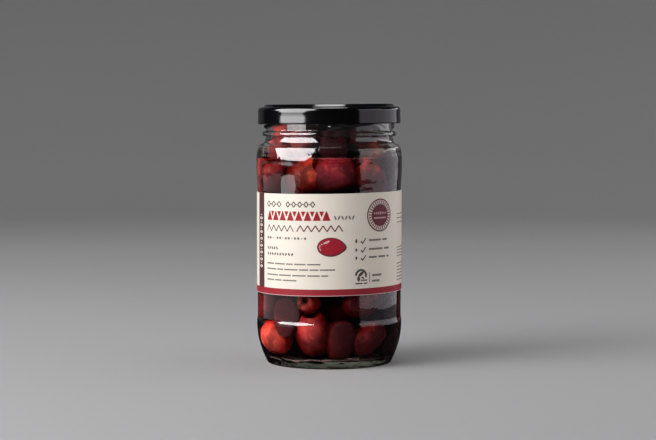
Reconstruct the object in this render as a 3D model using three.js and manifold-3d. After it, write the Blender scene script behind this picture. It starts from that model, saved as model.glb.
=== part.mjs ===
// A shut glass jar of pitted olives: a round jar with a screw finish, its twist-off lid,
// a paper label round its panel, and the heap of olives that fills it.
// Millimetres, +Z up. The origin is the middle of the jar's foot, and the label's front faces -Y.

import * as THREE from 'three';
import { mergeVertices } from 'three/addons/utils/BufferGeometryUtils.js';
import Module from 'manifold-3d';

const wasm = await Module();
wasm.setup();

// Driving dimensions
const TOTAL_HEIGHT = 126.6;
const PANEL_RADIUS = 35.0;
const BELLY_RADIUS = 35.46;
const UPPER_BODY_RADIUS = 35.7;
const WALL = 2.0;
const GAP = 0.3;
const SIDES = 36;
const STEP = (2 * Math.PI) / SIDES;
const WELD = 1e-4;

// Heights on the glass
const BELLY_HEIGHT = 18.5;
const PANEL_BOTTOM = 26;
const PANEL_TOP = 86;
const SHOULDER_HEIGHT = 104.1;
const LEDGE_HEIGHT = 107.2;
const BEAD_HEIGHT = 111.2;
const NECK_HEIGHT = 114.4;

// Neck and mouth
const SHOULDER_ROUNDING = 3.1;
const SHOULDER_RADIUS = 35.2;
const LOWER_NECK_RADIUS = 31.25;
const BEAD_RADIUS = 32.7;
const NECK_RADIUS = 30.9;
const MOUTH_RADIUS = 28.3;
const LIP_HALF_WIDTH = (NECK_RADIUS - MOUTH_RADIUS) / 2;

// Foot and floor of the jar
const FOOT_INNER_RADIUS = 28.2;
const FOOT_OUTER_RADIUS = 29.6;
const PUNT_HEIGHT = 2.6;
const FLOOR_HEIGHT = 5.4;

// Lid
const LID_WALL = 0.6;
const LID_BOTTOM = 117.1;
const LID_RADIUS = 34.95;
const LID_STEP_HEIGHT = 124.9;
const LID_PANEL_HEIGHT = 125.25;
const RING_OUTER_RADIUS = 31.9;
const RING_INNER_RADIUS = 27.0;
const CURL_RADIUS = 0.62;
const BUTTON_RADIUS = 12;
const BUTTON_DIP = 0.35;
const GLASS_TOP = TOTAL_HEIGHT - LID_WALL - GAP;

// Four threads on the glass, and the four lugs of the lid that grip under them
const THREADS = 4;
const THREAD_ANGLE = THREE.MathUtils.degToRad(84);
const THREAD_START = THREE.MathUtils.degToRad(-91);
const THREAD_LOW_END = 115.7;
const THREAD_RISE = 5.2;
const THREAD_RADIUS = 1.25;
const LUG_ANGLE = THREE.MathUtils.degToRad(15);
const LUG_AFTER_START = THREE.MathUtils.degToRad(73);
const LUG_INNER_RADIUS = 31.35;
const LUG_THICKNESS = 0.9;

// Paper label
const LABEL_THICKNESS = 0.18;
const LABEL_BOTTOM = 35.7;
const LABEL_HEIGHT = 48.6;
const LABEL_FACETS = 34;
const LABEL_SKEW = Math.tan(THREE.MathUtils.degToRad(0.75));

// Olives
const OLIVE_LENGTH = 21.5;
const OLIVE_WIDTH = 15.2;
const SMALLEST_OLIVE = 0.86;
const LARGEST_OLIVE = 1.1;
const LENGTH_SPREAD = 0.05;
const BLUNT_END = 0.06;
const PIT_HOLE_RADIUS = 2.6;
const PIT_HOLE_DEPTH = 3.2;
const OLIVE_SIDES = 7;
const OLIVE_RINGS = 5;
const CONTENT_CLEARANCE = 0.4;
const CORE_RADIUS = 23.5;
const CORE_BOTTOM = 11;
const CORE_TOP = 101;
const CORE_BEVEL = 5;
const CORE_SIDES = 10;
const ROW_COUNT = 8;
const FIRST_ROW_HEIGHT = 14;
const LAST_ROW_HEIGHT = 100;
const ROW_SPREAD = 1.5;
const WALL_ROW_RADIUS = 27;
const INWARD_STEP = 0.25;
const OLIVES_IN_ROW = 9;
const TOP_OLIVES = 5;
const HEAP_TOP = 114;
const SEED = 20411;

// Finishes
const MATERIALS = {
  glass: new THREE.MeshStandardMaterial({
    color: 0xdfe8df, roughness: 0.04, metalness: 0, transparent: true, opacity: 0.35,
  }),
  lid: new THREE.MeshStandardMaterial({ color: 0x0c0c0e, roughness: 0.18, metalness: 0.2 }),
  label: new THREE.MeshStandardMaterial({ color: 0xece6d8, roughness: 0.7, metalness: 0 }),
  olives: new THREE.MeshStandardMaterial({ color: 0x5a1a18, roughness: 0.35, metalness: 0 }),
};

// Points of an outline on a circle, angles in degrees from the outward direction
function arc(centreRadius, centreHeight, radius, fromDegrees, toDegrees, steps) {
  const points = [];
  for (let i = 0; i <= steps; i += 1) {
    const angle = THREE.MathUtils.degToRad(THREE.MathUtils.lerp(fromDegrees, toDegrees, i / steps));
    points.push([centreRadius + radius * Math.cos(angle), centreHeight + radius * Math.sin(angle)]);
  }
  return points;
}

// Points of an outline on a smooth curve through the given ones
function smooth(through, steps) {
  const curve = new THREE.SplineCurve(through.map(([r, z]) => new THREE.Vector2(r, z)));
  return curve.getPoints(steps).map((point) => [point.x, point.y]);
}

// A body of revolution about Z; the outline runs from the axis outside and back to the axis
function turned(outline, sides = SIDES) {
  const points = outline.map(([r, z]) => new THREE.Vector2(Math.max(r, 0), z));
  const geometry = new THREE.LatheGeometry(points, sides);
  geometry.rotateX(Math.PI / 2);
  return geometry;
}

function toSolid(geometry) {
  const bare = geometry.clone();
  bare.deleteAttribute('normal');
  bare.deleteAttribute('uv');
  const welded = mergeVertices(bare, WELD);
  const corners = welded.index.array;
  const triangles = [];
  for (let i = 0; i < corners.length; i += 3) {
    const [a, b, c] = corners.slice(i, i + 3);
    if (a !== b && b !== c && c !== a) triangles.push(a, b, c);
  }
  const mesh = new wasm.Mesh({
    numProp: 3,
    vertProperties: Float32Array.from(welded.attributes.position.array),
    triVerts: Uint32Array.from(triangles),
  });
  return new wasm.Manifold(mesh);
}

function toGeometry(solid) {
  const mesh = solid.getMesh();
  const geometry = new THREE.BufferGeometry();
  geometry.setAttribute('position', new THREE.BufferAttribute(Float32Array.from(mesh.vertProperties), 3));
  geometry.setIndex(new THREE.BufferAttribute(Uint32Array.from(mesh.triVerts), 1));
  geometry.computeVertexNormals();
  return geometry;
}

function joined(geometries) {
  return geometries.map(toSolid).reduce((whole, piece) => whole.add(piece));
}

// The outermost shell alone, so that hollows sealed between fused pieces are filled
function withoutSealedHollows(solid) {
  const shells = solid.decompose();
  return shells.reduce((largest, shell) => (shell.volume() > largest.volume() ? shell : largest));
}

// Outside of the glass, from the middle of the punt up to the lip
function glassOutside() {
  const punt = smooth([[0, PUNT_HEIGHT], [17, 2.1], [25.5, 1.1], [FOOT_INNER_RADIUS, 0]], 4);
  const heel = smooth(
    [[FOOT_OUTER_RADIUS, 0], [30.6, 0.9], [31.95, 3.9], [33.4, 7], [34.6, 11.2], [35.25, 15],
      [BELLY_RADIUS, BELLY_HEIGHT]],
    8,
  );
  const body = [
    [BELLY_RADIUS - 0.05, PANEL_BOTTOM - 4],
    [PANEL_RADIUS, PANEL_BOTTOM],
    [PANEL_RADIUS, PANEL_TOP],
    [UPPER_BODY_RADIUS - 0.2, PANEL_TOP + 5],
    [UPPER_BODY_RADIUS, PANEL_TOP + 12],
    [UPPER_BODY_RADIUS - 0.1, SHOULDER_HEIGHT - 2.5],
  ];
  const shoulder = arc(
    SHOULDER_RADIUS - SHOULDER_ROUNDING, SHOULDER_HEIGHT, SHOULDER_ROUNDING, 0, 85, 4,
  );
  const ledge = [[LOWER_NECK_RADIUS + 0.25, LEDGE_HEIGHT + 0.5], [LOWER_NECK_RADIUS, LEDGE_HEIGHT + 1.4]];
  const bead = [
    [LOWER_NECK_RADIUS, BEAD_HEIGHT - 0.5],
    [BEAD_RADIUS - 0.25, BEAD_HEIGHT - 0.2],
    [BEAD_RADIUS, BEAD_HEIGHT + 0.4],
    [BEAD_RADIUS - 0.05, BEAD_HEIGHT + 1.4],
    [NECK_RADIUS + 0.7, NECK_HEIGHT - 0.9],
    [NECK_RADIUS, NECK_HEIGHT],
  ];
  return [...punt, ...heel, ...body, ...shoulder, ...ledge, ...bead];
}

function glassLip() {
  return arc(MOUTH_RADIUS + LIP_HALF_WIDTH, GLASS_TOP - LIP_HALF_WIDTH, LIP_HALF_WIDTH, 0, 180, 4);
}

// Inside of the glass, from the mouth down to the middle of the floor
function glassInside() {
  const inner = PANEL_RADIUS - WALL;
  const shoulder = smooth(
    [[MOUTH_RADIUS, BEAD_HEIGHT], [MOUTH_RADIUS + 0.9, LEDGE_HEIGHT - 0.3],
      [inner - 1.2, SHOULDER_HEIGHT - 1.6], [inner, SHOULDER_HEIGHT - 7]],
    4,
  );
  const heel = smooth(
    [[inner, BELLY_HEIGHT + 4], [inner - 0.7, 13.5], [inner - 2.3, 8.6], [inner - 5.2, 5.4],
      [inner - 10, 4.5]],
    5,
  );
  return [...shoulder, ...heel, [0, FLOOR_HEIGHT]];
}

// One thread: a round bar bent round the neck, rising to the right
function thread(start) {
  const run = NECK_RADIUS * THREAD_ANGLE;
  const bar = new THREE.CapsuleGeometry(THREAD_RADIUS, run - 2 * THREAD_RADIUS, 1, 6, 6);
  const position = bar.attributes.position;
  for (let i = 0; i < position.count; i += 1) {
    const along = position.getY(i) / run + 0.5;
    const angle = start + along * THREAD_ANGLE;
    const radius = NECK_RADIUS + 0.05 + position.getX(i);
    const height = THREAD_LOW_END + along * THREAD_RISE + position.getZ(i);
    position.setXYZ(i, radius * Math.cos(angle), radius * Math.sin(angle), height);
  }
  return bar;
}

function glassJar() {
  const body = turned([...glassOutside(), ...glassLip(), ...glassInside()]);
  const threads = [];
  for (let i = 0; i < THREADS; i += 1) {
    threads.push(thread(THREAD_START + (i * 2 * Math.PI) / THREADS));
  }
  return toGeometry(joined([body, ...threads]));
}

// Upper face of the lid, from its middle to the top of the skirt
function lidOutside() {
  const panel = [
    [0, LID_PANEL_HEIGHT - BUTTON_DIP],
    [BUTTON_RADIUS - 1, LID_PANEL_HEIGHT - BUTTON_DIP],
    [BUTTON_RADIUS, LID_PANEL_HEIGHT],
    [RING_INNER_RADIUS - 1.2, LID_PANEL_HEIGHT],
  ];
  const ring = [
    [RING_INNER_RADIUS, TOTAL_HEIGHT - 0.7],
    [RING_INNER_RADIUS + 0.8, TOTAL_HEIGHT],
    [RING_OUTER_RADIUS - 0.9, TOTAL_HEIGHT],
    [RING_OUTER_RADIUS, TOTAL_HEIGHT - 0.7],
    [RING_OUTER_RADIUS + 0.2, LID_STEP_HEIGHT + 0.1],
  ];
  const skirt = [
    ...arc(LID_RADIUS - 1, LID_STEP_HEIGHT - 1, 1, 90, 0, 3),
    [LID_RADIUS - 0.1, LID_BOTTOM + CURL_RADIUS * 2],
  ];
  return [...panel, ...ring, ...skirt];
}

function lidCurl() {
  return arc(LID_RADIUS - CURL_RADIUS - 0.05, LID_BOTTOM + CURL_RADIUS, CURL_RADIUS, 0, -190, 4);
}

// Under face of the lid, from above the curl back to the middle
function lidInside() {
  const inner = LID_RADIUS - LID_WALL;
  return [
    [inner - 0.1, LID_BOTTOM + CURL_RADIUS * 2 + 0.2],
    [inner, LID_STEP_HEIGHT - 1.1],
    [inner - 0.5, LID_STEP_HEIGHT - LID_WALL],
    [RING_OUTER_RADIUS - LID_WALL + 0.1, LID_STEP_HEIGHT - LID_WALL],
    [RING_OUTER_RADIUS - LID_WALL - 0.3, TOTAL_HEIGHT - LID_WALL],
    [RING_INNER_RADIUS + LID_WALL + 0.4, TOTAL_HEIGHT - LID_WALL],
    [RING_INNER_RADIUS - 0.8, LID_PANEL_HEIGHT - LID_WALL],
    [BUTTON_RADIUS, LID_PANEL_HEIGHT - LID_WALL],
    [BUTTON_RADIUS - 1, LID_PANEL_HEIGHT - LID_WALL - BUTTON_DIP],
    [0, LID_PANEL_HEIGHT - LID_WALL - BUTTON_DIP],
  ];
}

// One lug: a short shelf pressed inwards from the curl
function lug(middle) {
  const from = middle - LUG_ANGLE / 2;
  const to = middle + LUG_ANGLE / 2;
  const shape = new THREE.Shape();
  shape.absarc(0, 0, LID_RADIUS - LID_WALL, from, to, false);
  shape.absarc(0, 0, LUG_INNER_RADIUS, to, from, true);
  shape.closePath();
  const shelf = new THREE.ExtrudeGeometry(shape, {
    depth: LUG_THICKNESS, bevelEnabled: false, curveSegments: 3,
  });
  shelf.translate(0, 0, LID_BOTTOM + 0.15);
  return shelf;
}

function lid() {
  const shell = turned([...lidOutside(), ...lidCurl(), ...lidInside()].reverse());
  const lugs = [];
  for (let i = 0; i < THREADS; i += 1) {
    lugs.push(lug(THREAD_START + LUG_AFTER_START + (i * 2 * Math.PI) / THREADS));
  }
  return toGeometry(joined([shell, ...lugs]));
}

// Paper wrapped round the panel, open at the back, its right-hand side pasted a little higher
function label() {
  const inner = PANEL_RADIUS + GAP;
  const outer = inner + LABEL_THICKNESS;
  const from = -Math.PI / 2 - (LABEL_FACETS * STEP) / 2;
  const to = -Math.PI / 2 + (LABEL_FACETS * STEP) / 2;
  const shape = new THREE.Shape();
  shape.absarc(0, 0, outer, from, to, false);
  shape.absarc(0, 0, inner, to, from, true);
  shape.closePath();
  const wrap = new THREE.ExtrudeGeometry(shape, {
    depth: LABEL_HEIGHT, bevelEnabled: false, curveSegments: LABEL_FACETS / 2,
  });
  wrap.translate(0, 0, LABEL_BOTTOM);
  const position = wrap.attributes.position;
  for (let i = 0; i < position.count; i += 1) {
    position.setZ(i, position.getZ(i) + position.getX(i) * LABEL_SKEW);
  }
  return wrap;
}

// Repeatable random numbers from 0 to 1
function randomSource(seed) {
  let state = seed;
  return () => {
    state = (state + 0x6d2b79f5) | 0;
    let mixed = Math.imul(state ^ (state >>> 15), 1 | state);
    mixed = (mixed + Math.imul(mixed ^ (mixed >>> 7), 61 | mixed)) ^ mixed;
    return ((mixed ^ (mixed >>> 14)) >>> 0) / 4294967296;
  };
}

// One pitted olive standing on its end: an egg shape with the pit's hole in its top
function olive(length, width) {
  const outline = [];
  for (let i = 0; i < OLIVE_RINGS; i += 1) {
    const turn = Math.PI * (i / OLIVE_RINGS);
    const belly = 1 + BLUNT_END * Math.cos(turn);
    outline.push([(width / 2) * Math.sin(turn) * belly, (-length / 2) * Math.cos(turn)]);
  }
  outline.push([PIT_HOLE_RADIUS, length / 2 - 1]);
  outline.push([0, length / 2 - PIT_HOLE_DEPTH]);
  return turned(outline, OLIVE_SIDES);
}

// Inside radius of the glass at a height
function hollowRadius(height) {
  const outline = glassInside();
  for (let i = 1; i < outline.length; i += 1) {
    const [upperRadius, upperHeight] = outline[i - 1];
    const [lowerRadius, lowerHeight] = outline[i];
    if (height < upperHeight && height >= lowerHeight) {
      const share = (upperHeight - height) / (upperHeight - lowerHeight);
      return THREE.MathUtils.lerp(upperRadius, lowerRadius, share);
    }
  }
  return 0;
}

function fitsInside(geometry) {
  const position = geometry.attributes.position;
  for (let i = 0; i < position.count; i += 1) {
    const reach = Math.hypot(position.getX(i), position.getY(i)) + CONTENT_CLEARANCE;
    if (position.getZ(i) < FLOOR_HEIGHT + CONTENT_CLEARANCE) return false;
    if (position.getZ(i) > HEAP_TOP) return false;
    if (reach > hollowRadius(position.getZ(i)) * Math.cos(STEP / 2)) return false;
  }
  return true;
}

// Turns an olive at random and brings it in from its reach, towards mid-height, until it fits
function placedOlive(angle, reach, height, random) {
  const scale = THREE.MathUtils.lerp(SMALLEST_OLIVE, LARGEST_OLIVE, random());
  const stretch = 1 + LENGTH_SPREAD * (2 * random() - 1);
  const shape = olive(OLIVE_LENGTH * scale * stretch, OLIVE_WIDTH * scale);
  shape.rotateX(random() * Math.PI);
  shape.rotateY((random() - 0.5) * Math.PI);
  shape.rotateZ(random() * 2 * Math.PI);
  for (let inward = 0; inward < reach; inward += INWARD_STEP) {
    const lift = THREE.MathUtils.lerp(height, (CORE_TOP + CORE_BOTTOM) / 2, (0.5 * inward) / reach);
    const trial = shape.clone();
    trial.translate((reach - inward) * Math.cos(angle), (reach - inward) * Math.sin(angle), lift);
    if (fitsInside(trial)) return trial;
  }
  throw new Error('an olive does not fit');
}

function oliveHeap() {
  const random = randomSource(SEED);
  const core = turned(
    [[0, CORE_BOTTOM], [CORE_RADIUS - CORE_BEVEL, CORE_BOTTOM], [CORE_RADIUS, CORE_BOTTOM + CORE_BEVEL],
      [CORE_RADIUS, CORE_TOP - CORE_BEVEL], [CORE_RADIUS - CORE_BEVEL, CORE_TOP], [0, CORE_TOP]],
    CORE_SIDES,
  );
  const pieces = [core];
  for (let row = 0; row < ROW_COUNT; row += 1) {
    const height = THREE.MathUtils.lerp(FIRST_ROW_HEIGHT, LAST_ROW_HEIGHT, row / (ROW_COUNT - 1));
    const count = OLIVES_IN_ROW - (row % 2);
    for (let i = 0; i < count; i += 1) {
      const angle = ((i + 0.5 * (row % 2) + 0.25 * random()) * 2 * Math.PI) / count;
      const offset = ROW_SPREAD * (2 * random() - 1);
      pieces.push(placedOlive(angle, WALL_ROW_RADIUS, height + offset, random));
    }
  }
  for (let i = 0; i < TOP_OLIVES; i += 1) {
    const angle = (i * 2 * Math.PI) / TOP_OLIVES;
    pieces.push(placedOlive(angle, CORE_RADIUS / 2, CORE_TOP, random));
  }
  return toGeometry(withoutSealedHollows(joined(pieces)));
}

function named(name, geometry, material) {
  const mesh = new THREE.Mesh(geometry, material);
  mesh.name = name;
  return mesh;
}

const jarOfOlives = new THREE.Group();
jarOfOlives.add(named('jar_glass', glassJar(), MATERIALS.glass));
jarOfOlives.add(named('lid', lid(), MATERIALS.lid));
jarOfOlives.add(named('label', label(), MATERIALS.label));
jarOfOlives.add(named('olives', oliveHeap(), MATERIALS.olives));

export default jarOfOlives;
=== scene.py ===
"""A clear glass jar of pitted olives in red brine, with a black twist-off lid and a wrapped paper label.

Heights and radii are given in millimetres from the jar's foot and its axis. The label's front faces -Y.
"""

import math
import random
from types import SimpleNamespace

import bmesh
import bpy
import numpy as np
from bpy.props import FloatProperty, FloatVectorProperty, IntProperty, PointerProperty
from mathutils import Matrix, Vector, noise


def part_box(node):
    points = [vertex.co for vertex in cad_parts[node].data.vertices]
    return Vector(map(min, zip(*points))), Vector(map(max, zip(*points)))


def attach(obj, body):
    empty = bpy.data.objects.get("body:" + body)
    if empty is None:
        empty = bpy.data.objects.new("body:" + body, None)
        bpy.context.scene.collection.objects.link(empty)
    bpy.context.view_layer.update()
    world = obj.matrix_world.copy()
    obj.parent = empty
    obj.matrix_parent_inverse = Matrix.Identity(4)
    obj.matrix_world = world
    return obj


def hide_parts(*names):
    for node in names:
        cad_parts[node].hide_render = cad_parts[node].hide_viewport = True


bl_info = {
    "name": "Jar of olives",
    "version": (1, 0, 0),
    "blender": (4, 5, 0),
    "location": "View3D > Sidebar > Olives",
    "description": "Dresses the packed jar with glass, brine, pitted olives, a lacquered lid and a label",
    "category": "Add Mesh",
}

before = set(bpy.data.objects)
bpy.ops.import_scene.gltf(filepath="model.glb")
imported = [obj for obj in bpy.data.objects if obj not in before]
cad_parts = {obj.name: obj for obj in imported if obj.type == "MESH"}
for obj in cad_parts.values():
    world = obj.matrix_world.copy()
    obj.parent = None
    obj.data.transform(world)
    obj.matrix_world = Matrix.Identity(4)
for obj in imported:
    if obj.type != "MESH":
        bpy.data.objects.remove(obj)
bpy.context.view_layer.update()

MM = 0.001
UP = Vector((0.0, 0.0, 1.0))
LID_LOW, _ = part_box("lid")
_, LABEL_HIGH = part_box("label")
BODY = "root"


def length(name, description, size):
    """A length that a user may change, given in millimetres."""
    return FloatProperty(name=name, description=description, default=size * MM, unit="LENGTH", precision=4)


def tint(name, description, default):
    """A colour that a user may change."""
    return FloatVectorProperty(
        name=name, description=description, default=default, subtype="COLOR", min=0.0, max=1.0)


class JarSizes(bpy.types.PropertyGroup):
    """Sizes of the jar, its lid, its label and what it holds"""

    lid_tilt: FloatProperty(
        name="Lid tilt", description="How far the lid sits out of level, rising to the right",
        default=math.radians(0.45), subtype="ANGLE")
    label_radius: FloatProperty(
        name="Label radius", description="Outer radius of the paper round the jar",
        default=LABEL_HIGH.x, unit="LENGTH", precision=5)
    label_bottom: length("Label bottom", "Height of the label's lower edge at the front", 35.7)
    label_height: length("Label height", "Height of the paper band", 48.6)
    label_skew: FloatProperty(
        name="Label skew", description="Angle by which the label rises to the right",
        default=math.radians(0.75), subtype="ANGLE")
    brine_level: length("Brine level", "Height of the brine's surface", 99.9)
    olive_length: length("Olive length", "Length of an average olive", 21.5)
    olive_width: length("Olive width", "Width of an average olive", 15.2)
    olive_count: IntProperty(
        name="Olives", description="Number of olives that fill the jar", default=92, min=10)


class JarColours(bpy.types.PropertyGroup):
    """Colours of the jar's pieces"""

    glass: tint("Glass", "Tint of the glass", (0.965, 0.985, 0.965))
    lacquer: tint("Lid lacquer", "Black lacquer of the lid", (0.0016, 0.0016, 0.0019))
    paper: tint("Paper", "Cream paper of the label", (0.77, 0.695, 0.61))
    crimson: tint("Crimson", "Crimson ink of the lower band and the big frieze", (0.31, 0.003, 0.018))
    plum: tint("Plum", "Plum ink of the stripe", (0.062, 0.014, 0.020))
    charcoal: tint("Charcoal", "Dark ink of the fine rows", (0.045, 0.038, 0.032))
    olive_dark: tint("Dark olive", "Skin of the darkest olives", (0.020, 0.0044, 0.0058))
    olive_rust: tint("Rusty olive", "Skin of the palest olives", (0.74, 0.10, 0.045))
    olive_plum: tint("Plum olive", "Skin of the palest olives that keep a violet cast", (0.52, 0.055, 0.085))


class Term:
    """A number inside a material, which can be added, multiplied and compared in plain Python."""

    def __init__(self, recipe, socket):
        self.recipe = recipe
        self.socket = socket

    def do(self, operation, *values):
        """This term put through one of the Math node's operations."""
        node = self.recipe.node("Math", dict(enumerate((self, *values))), operation=operation)
        return Term(self.recipe, node.outputs[0])

    def __add__(self, other):
        return self.do("ADD", other)

    def __mul__(self, other):
        return self.do("MULTIPLY", other)

    def __sub__(self, other):
        return self.do("SUBTRACT", other)

    def __neg__(self):
        return self * -1.0

    def __rsub__(self, other):
        return -self + other

    __radd__ = __add__
    __rmul__ = __mul__

    def over(self, edge, softness):
        """Rises from 0 to 1 as this term passes the edge."""
        inputs = {"Value": self, "From Min": edge - softness / 2, "From Max": edge + softness / 2}
        node = self.recipe.node("MapRange", inputs, interpolation_type="SMOOTHSTEP")
        return Term(self.recipe, node.outputs[0])

    def within(self, low, high, softness):
        """1 between low and high, and 0 outside."""
        return self.over(low, softness) * (1.0 - self.over(high, softness))


class Recipe:
    """The node tree of one material."""

    def __init__(self, name):
        self.material = bpy.data.materials.new(name)
        self.material.use_nodes = True
        self.tree = self.material.node_tree
        self.tree.nodes.clear()

    def node(self, kind, inputs=None, **settings):
        """Adds one node: its settings first, then what goes into its sockets."""
        made = self.tree.nodes.new("ShaderNode" + kind)
        for name, value in settings.items():
            setattr(made, name, value)
        for key, value in (inputs or {}).items():
            self.feed(made.inputs[key], value)
        return made

    def feed(self, socket, value):
        """Links a term or a socket, or sets a plain value."""
        if isinstance(value, Term):
            value = value.socket
        if isinstance(value, bpy.types.NodeSocket):
            self.tree.links.new(value, socket)
        elif hasattr(value, "__len__") and len(value) == 3 and socket.type == "RGBA":
            socket.default_value = (*value, 1.0)
        else:
            socket.default_value = value

    def place(self):
        """Object coordinates, and their three parts as terms in metres."""
        socket = self.node("TexCoord").outputs["Object"]
        parts = self.node("SeparateXYZ", {0: socket}).outputs
        return socket, [Term(self, part) for part in parts]

    def noise(self, vector, scale, detail=3.0, roughness=0.5, distortion=0.0):
        """A noise from 0 to 1 on the given coordinates, with this many features to the metre."""
        inputs = {"Vector": vector, "Scale": scale, "Detail": detail,
                  "Roughness": roughness, "Distortion": distortion}
        return Term(self, self.node("TexNoise", inputs).outputs[0])

    def blend(self, share, first, second):
        """Goes from the first colour to the second as the share goes from 0 to 1."""
        made = self.node("Mix", data_type="RGBA")
        ends = [socket for socket in made.inputs if socket.enabled]
        for socket, value in zip(ends, (share, first, second)):
            self.feed(socket, value)
        return next(socket for socket in made.outputs if socket.enabled)

    def bump(self, height, strength, distance):
        """A normal that follows the height."""
        inputs = {"Height": height, "Strength": strength, "Distance": distance}
        return self.node("Bump", inputs).outputs[0]

    def shader(self, inputs):
        """A Principled shader with these inputs."""
        return self.node("BsdfPrincipled", inputs).outputs[0]

    def solid(self, inputs):
        """Ends the tree in one Principled shader."""
        self.node("OutputMaterial", {"Surface": self.shader(inputs)})
        return self.material

    def clear(self, shader, colour, density):
        """Ends the tree in a clear body that casts no shadow and takes its colour from its depth."""
        open_way = {0: self.node("LightPath").outputs["Is Shadow Ray"], 1: shader,
                    2: self.node("BsdfTransparent").outputs[0]}
        depth = self.node("VolumeAbsorption", {"Color": colour, "Density": density})
        self.node("OutputMaterial", {"Surface": self.node("MixShader", open_way).outputs[0],
                                     "Volume": depth.outputs[0]})
        return self.material


WET_RADIUS, WET_FLOOR = 33.3, 3.2  # where the inner wall and the floor touch the brine
STIPPLE_TOP, BASE_TOP = 3.2, 8.0


def glass_relief(recipe, where, z):
    """Slow waves all over, a stippled foot, and ripples at the shoulder and in the thick base."""
    waves = recipe.noise(where, 55.0, 1.0)
    stipple = recipe.noise(where, 420.0, 2.0) * (1.0 - z.over(STIPPLE_TOP * MM, 3.0 * MM))
    shoulder = z.within(86.0 * MM, 106.0 * MM, 4.0 * MM) * (z.over(98.5 * MM, 3.0 * MM) * 0.5 + 0.3)
    ripples = recipe.noise(where, 165.0, 2.0) * shoulder
    layered = recipe.node("Mapping", {"Vector": where, "Scale": (1.0, 1.0, 2.6)}).outputs[0]
    ripples = ripples + recipe.noise(layered, 95.0, 1.0) * (1.0 - z.over(BASE_TOP * MM, 6.0 * MM)) * 3.0
    return recipe.bump(waves * 0.14 + stipple * 0.55 + ripples, 0.5, 1.0 * MM)


def glass_material(colours, sizes):
    """Clear glass with a faint green cast where it is thick, which mirrors nothing where brine wets it."""
    recipe = Recipe("clear_glass")
    where, (x, y, z) = recipe.place()
    inputs = {"Base Color": colours.glass, "Roughness": 0.0, "IOR": 1.5, "Transmission Weight": 1.0,
              "Normal": glass_relief(recipe, where, z)}
    dry, wet = recipe.shader(inputs), recipe.shader({**inputs, "Specular Tint": (0.0, 0.0, 0.0)})
    wall = (WET_RADIUS * MM) ** 2
    is_wet = (1.0 - (x * x + y * y).over(wall, wall * 0.01)) * (1.0 - z.over(sizes.brine_level, 0.1 * MM))
    is_wet = is_wet * z.over(WET_FLOOR * MM, 0.1 * MM)
    glass = recipe.node("MixShader", {0: is_wet, 1: dry, 2: wet}).outputs[0]
    return recipe.clear(glass, (0.54, 0.64, 0.32), 13.0)


def brine_material():
    """Deep red brine: clear in a thin layer, black behind a thick one."""
    recipe = Recipe("red_brine")
    inputs = {"Base Color": (1.0, 1.0, 1.0), "Roughness": 0.0, "IOR": 1.34,
              "Transmission Weight": 1.0, "Specular Tint": (0.0, 0.0, 0.0)}
    return recipe.clear(recipe.shader(inputs), (0.77, 0.08, 0.05), 350.0)


def lacquer_material(colours):
    """Glossy black lacquer on tin plate, with an orange-peel surface and fine handling marks."""
    recipe = Recipe("black_lacquer")
    where, _ = recipe.place()
    peel = recipe.noise(where, 900.0, 2.0)
    smudges = recipe.noise(where, 130.0, 4.0, 0.62)
    stretched = recipe.node("Mapping", {"Vector": where, "Scale": (1.0, 1.0, 16.0)}).outputs[0]
    scuffs = recipe.noise(stretched, 520.0, 2.0).over(0.71, 0.04)
    inputs = {"Base Color": recipe.blend(smudges, colours.lacquer, (0.0030, 0.0030, 0.0034)),
              "Roughness": smudges * 0.06 + scuffs * 0.12 + 0.07, "IOR": 1.395,
              "Normal": recipe.bump(peel, 0.05, 0.2 * MM)}
    return recipe.solid(inputs)


def paper_material(colours, sizes):
    """Coated cream paper printed with a crimson foot band and a plum stripe."""
    recipe = Recipe("printed_paper")
    where, (x, y, z) = recipe.place()
    along = x.do("ARCTAN2", -y) * sizes.label_radius
    up = z - sizes.label_bottom - x * math.tan(sizes.label_skew)
    fibre = recipe.noise(where, 2600.0, 3.0, 0.6)
    cloud = recipe.noise(where, 70.0, 3.0)
    sheet = recipe.blend(cloud * 0.35, colours.paper, [0.93 * part for part in colours.paper])
    stripe = along.within(STRIPE_LEFT * MM, STRIPE_RIGHT * MM, 0.15 * MM)
    band = 1.0 - up.over(BAND_TOP * MM, 0.15 * MM)
    sheet = recipe.blend(stripe, sheet, colours.plum)
    band_ink = recipe.blend(cloud, colours.crimson, [0.8 * part for part in colours.crimson])
    sheet = recipe.blend(band, sheet, band_ink)
    sheet = recipe.blend(1.0 - up.over(MARGIN * MM, 0.1 * MM), sheet, (0.55, 0.33, 0.33))
    sheet = recipe.blend(fibre * 0.10, sheet, (0.45, 0.40, 0.36))
    inputs = {"Base Color": sheet, "Roughness": fibre * 0.10 + 0.28, "IOR": 1.16,
              "Normal": recipe.bump(fibre * 0.3 + cloud, 0.10, 0.12 * MM)}
    return recipe.solid(inputs)


def plain_paper_material():
    """The bare cut edge and back of the label's paper."""
    recipe = Recipe("bare_paper")
    where, _ = recipe.place()
    fibre = recipe.noise(where, 1800.0, 3.0, 0.6)
    inputs = {"Base Color": recipe.blend(fibre, (0.78, 0.74, 0.70), (0.62, 0.57, 0.54)), "Roughness": 0.8}
    return recipe.solid(inputs)


def ink_material(name, colour, thin_share):
    """Printed ink, a little uneven where it takes to the paper."""
    recipe = Recipe(name)
    where, _ = recipe.place()
    grain = recipe.noise(where, 1500.0, 3.0, 0.6)
    worn = [part + (whole - part) * thin_share for part, whole in zip(colour, (0.8, 0.74, 0.66))]
    inputs = {"Base Color": recipe.blend(grain, colour, worn), "Roughness": grain * 0.1 + 0.28, "IOR": 1.14}
    return recipe.solid(inputs)


OLIVE_LAYERS = ("tone", "hue", "pit")  # what each point of an olive carries for its skin: tone with painted light and shade, hue, and the painted shade of the hole


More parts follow.
